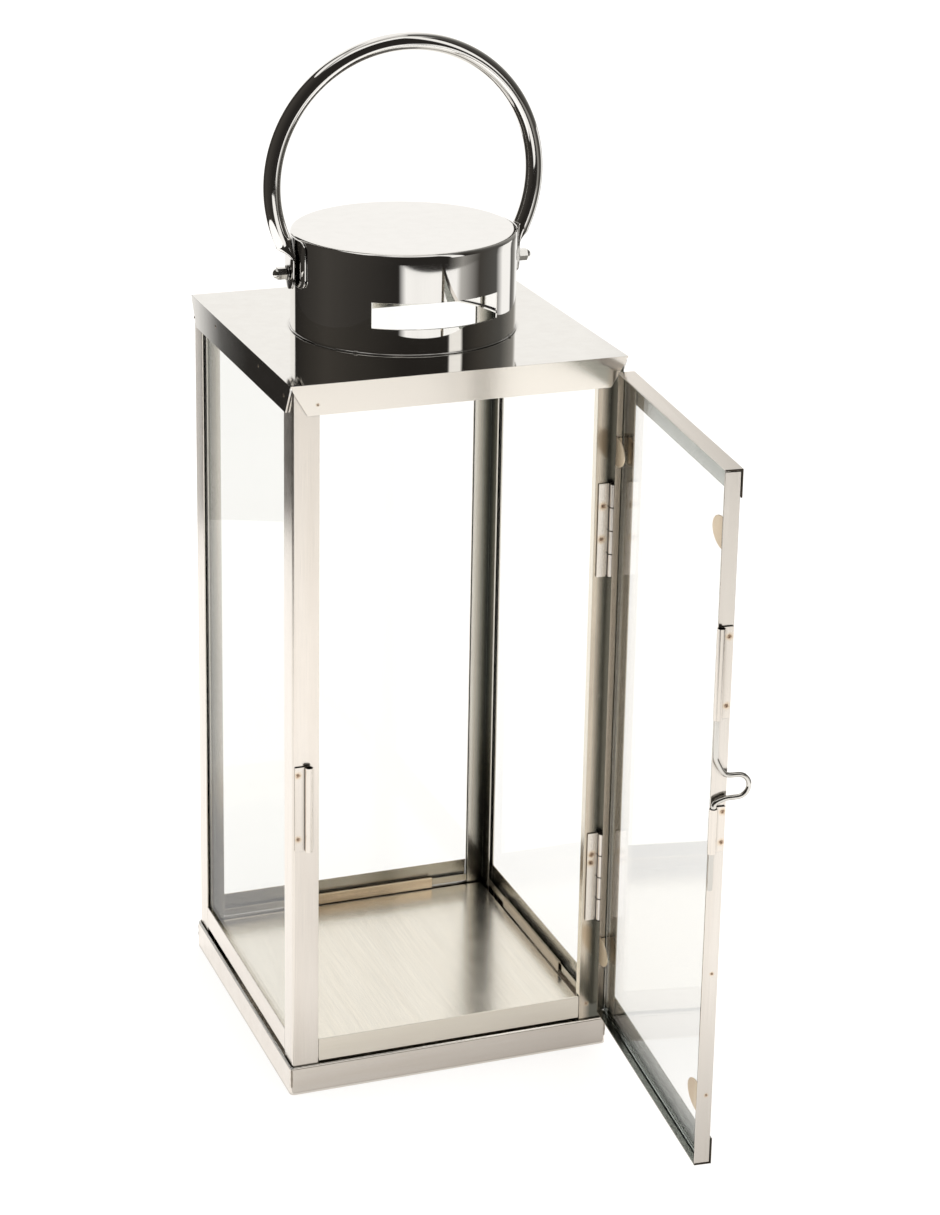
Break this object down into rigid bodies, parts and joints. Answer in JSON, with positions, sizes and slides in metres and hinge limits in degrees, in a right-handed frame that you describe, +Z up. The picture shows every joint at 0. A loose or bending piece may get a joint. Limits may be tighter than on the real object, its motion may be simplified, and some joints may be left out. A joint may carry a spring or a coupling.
{
  "type": "candle lantern",
  "caption": "Square stainless steel candle lantern with glass sides, a hinged glass door with a sliding wire latch, a slotted round chimney and a swinging ring handle.",
  "frame": {"origin": "middle of the underside of the base tray, on the surface the lantern stands on", "axes": "+Z up, -Y towards the front where the door opening is, +X to the right as seen from the front, on the door hinges' side"},
  "size_m": [0.1717, 0.3273, 0.515],
  "materials": {
    "tray_steel": "polished stainless steel sheet with a folded rim",
    "brushed_floor": "fine brushed stainless steel",
    "post_steel": "polished stainless steel sheet",
    "rail_steel": "satin stainless steel sheet",
    "brushed_strip": "brushed stainless steel",
    "roof_steel": "polished stainless steel sheet",
    "drum_steel": "mirror-polished stainless steel",
    "bracket_steel": "polished stainless steel",
    "ring_chrome": "mirror-polished stainless steel rod",
    "fastener_steel": "bright plated steel",
    "hinge_steel": "stainless steel with heat tint at the spot welds",
    "wire_chrome": "bright drawn stainless steel wire",
    "door_steel": "polished stainless steel sheet",
    "tab_steel": "stainless steel sheet",
    "clear_glass": "clear float glass",
    "door_glass": "clear float glass"
  },
  "bodies": {
    "lantern_body": {"base_tray": "tray_steel", "floor_plate": "brushed_floor", "front_threshold": "rail_steel", "post_front_left": "post_steel", "post_front_right": "post_steel", "post_back_left": "post_steel", "post_back_right": "post_steel", "bottom_rail_left": "rail_steel", "bottom_rail_right": "rail_steel", "bottom_rail_back": "rail_steel", "glass_left": "clear_glass", "glass_right": "clear_glass", "glass_back": "clear_glass", "glass_strip_left": "brushed_strip", "glass_strip_right": "brushed_strip", "glass_strip_back": "brushed_strip", "roof_plate": "roof_steel", "chimney_drum": "drum_steel", "handle_bracket_left": "bracket_steel", "handle_bracket_right": "bracket_steel", "pivot_bolt_left": "fastener_steel", "pivot_bolt_right": "fastener_steel", "pivot_washer_left": "fastener_steel", "pivot_washer_right": "fastener_steel", "acorn_nut_left": "fastener_steel", "acorn_nut_right": "fastener_steel", "hinge_leaf_post_upper": "hinge_steel", "hinge_leaf_post_lower": "hinge_steel", "hinge_pin_upper": "hinge_steel", "hinge_pin_lower": "hinge_steel", "latch_catch": "hinge_steel"},
    "door": {"door_stile_hinge": "door_steel", "door_stile_free": "door_steel", "door_rail_top": "door_steel", "door_rail_bottom": "door_steel", "door_glass": "door_glass", "door_glass_tab_hinge_upper": "tab_steel", "door_glass_tab_hinge_lower": "tab_steel", "door_glass_tab_free_upper": "tab_steel", "door_glass_tab_free_lower": "tab_steel", "hinge_leaf_door_upper": "hinge_steel", "hinge_leaf_door_lower": "hinge_steel", "latch_barrel_upper": "hinge_steel", "latch_barrel_lower": "hinge_steel"},
    "latch_bolt": {"latch_wire": "wire_chrome"},
    "handle": {"handle_ring": "ring_chrome"}
  },
  "joints": [
    {"name": "door_hinge", "type": "hinge", "parent": "lantern_body", "child": "door", "pos_m": [0.0789, -0.0855, 0.1884], "axis": [0, 0, 1], "range_deg": [-84.6, 25]},
    {"name": "latch_slide", "type": "slide", "parent": "door", "child": "latch_bolt", "axis": [0, 0, 1], "range_m": [0, 0.018]},
    {"name": "handle_swing", "type": "hinge", "parent": "lantern_body", "child": "handle", "pos_m": [0, 0, 0.4], "axis": [1, 0, 0], "range_deg": [-101, 99]}
  ]
}
